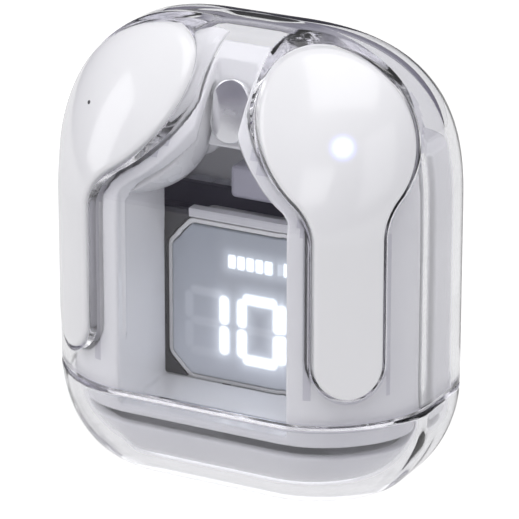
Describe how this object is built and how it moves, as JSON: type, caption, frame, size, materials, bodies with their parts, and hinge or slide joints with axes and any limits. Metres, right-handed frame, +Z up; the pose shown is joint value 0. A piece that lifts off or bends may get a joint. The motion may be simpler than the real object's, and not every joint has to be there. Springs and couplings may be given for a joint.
{
  "type": "earbuds charging case",
  "caption": "Pocket charging case with a clear shell, white inner frame, digit display and stemmed earbuds lying in keyhole pockets on its front corners.",
  "frame": {"origin": "middle of the case's footprint, at the height of its flat foot", "axes": "+Z up, -Y towards the display side, +X towards the right as seen from the display side"},
  "size_m": [0.0474, 0.027, 0.055],
  "materials": {
    "clear": "clear, polished",
    "white": "white, glossy",
    "silicone": "soft white silicone, satin",
    "screen": "silver-grey mirrored window",
    "light_guide": "milky light guide",
    "board": "dark circuit board",
    "foil": "pouch foil, satin",
    "steel": "bare steel",
    "chrome": "bright plated",
    "gold": "gold plated",
    "black": "black",
    "red_wire": "red wire sleeve",
    "black_wire": "black wire sleeve",
    "flex": "amber flexible circuit",
    "blue_light": "translucent light pipe"
  },
  "bodies": {
    "case": {"upper_shell": "clear", "base_shell": "clear", "base_tray": "white", "front_frame": "white", "cradle_left": "white", "cradle_right": "white", "badge_plate": "chrome", "rear_housing": "white", "main_board": "board", "antenna_block": "white", "screen_gasket": "black", "board_screw_1": "steel", "board_screw_2": "steel", "charge_chip": "black", "inductor": "board", "battery_cell": "foil", "battery_wire_red": "red_wire", "battery_wire_black": "black_wire", "usb_shell": "steel", "usb_tongue": "black", "display_housing": "white", "display_lens": "screen", "display_board": "board", "digit_guide": "light_guide", "display_flex": "flex", "case_magnet_left": "steel", "case_magnet_right": "steel", "pin_block_left": "black", "pin_block_right": "black"},
    "earbud_left": {"bud_cover_left": "white", "bud_light_left": "black", "bud_body_left": "white", "ear_tip_left": "silicone", "nozzle_mesh_left": "steel", "driver_left": "black", "bud_battery_left": "steel", "bud_board_left": "board", "bud_magnet_left": "steel", "bud_contact_left_1": "gold", "bud_contact_left_2": "gold"},
    "pogo_pin_left_1": {"pogo_pin_left_1": "gold"},
    "pogo_pin_left_2": {"pogo_pin_left_2": "gold"},
    "earbud_right": {"bud_cover_right": "white", "bud_light_right": "blue_light", "bud_body_right": "white", "ear_tip_right": "silicone", "nozzle_mesh_right": "steel", "driver_right": "black", "bud_battery_right": "steel", "bud_board_right": "board", "bud_magnet_right": "steel", "bud_contact_right_1": "gold", "bud_contact_right_2": "gold"},
    "pogo_pin_right_1": {"pogo_pin_right_1": "gold"},
    "pogo_pin_right_2": {"pogo_pin_right_2": "gold"}
  },
  "joints": [
    {"name": "earbud_slide_left", "type": "slide", "parent": "case", "child": "earbud_left", "axis": [-0.6428, -0.766, 0], "range_m": [0, 0.03]},
    {"name": "pin_press_left_1", "type": "slide", "parent": "case", "child": "pogo_pin_left_1", "axis": [0.6428, 0.766, 0], "range_m": [0, 0.0006], "stiffness_N_per_m": 100},
    {"name": "pin_press_left_2", "type": "slide", "parent": "case", "child": "pogo_pin_left_2", "axis": [0.6428, 0.766, 0], "range_m": [0, 0.0006], "stiffness_N_per_m": 100},
    {"name": "earbud_slide_right", "type": "slide", "parent": "case", "child": "earbud_right", "axis": [0.6428, -0.766, 0], "range_m": [0, 0.03]},
    {"name": "pin_press_right_1", "type": "slide", "parent": "case", "child": "pogo_pin_right_1", "axis": [-0.6428, 0.766, 0], "range_m": [0, 0.0006], "stiffness_N_per_m": 100},
    {"name": "pin_press_right_2", "type": "slide", "parent": "case", "child": "pogo_pin_right_2", "axis": [-0.6428, 0.766, 0], "range_m": [0, 0.0006], "stiffness_N_per_m": 100}
  ]
}
